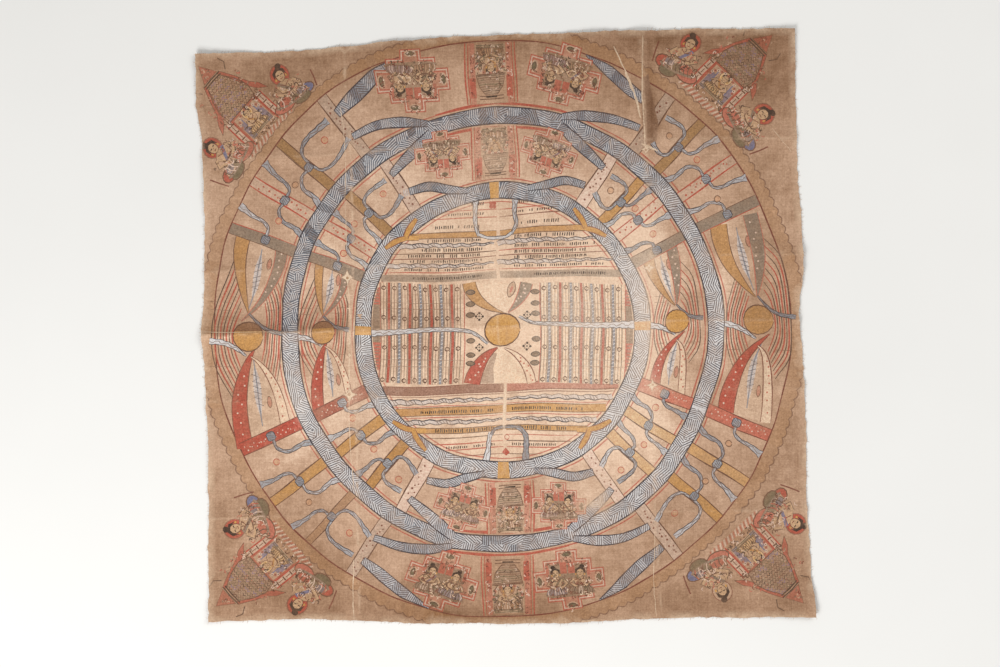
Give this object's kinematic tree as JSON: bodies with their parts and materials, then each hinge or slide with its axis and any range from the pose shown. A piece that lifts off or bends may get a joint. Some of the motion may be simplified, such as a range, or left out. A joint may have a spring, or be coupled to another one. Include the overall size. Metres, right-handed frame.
{
  "type": "painted cloth chart",
  "caption": "Nearly square cotton cloth painted with a ringed cosmological chart, opened out and lying flat with its storage folds.",
  "frame": {"origin": "centre of the cloth's bounding box, on the surface that it lies on", "axes": "+Z out of the painted face, +Y towards the top edge of the painting, +X to its right"},
  "size_m": [0.93, 0.892, 0.0068],
  "materials": {
    "painted_cotton": "sized plain-weave cotton with matt water-based paint, browned and creased by age"
  },
  "bodies": {
    "root": {"painted_cloth": "painted_cotton"}
  },
  "joints": []
}
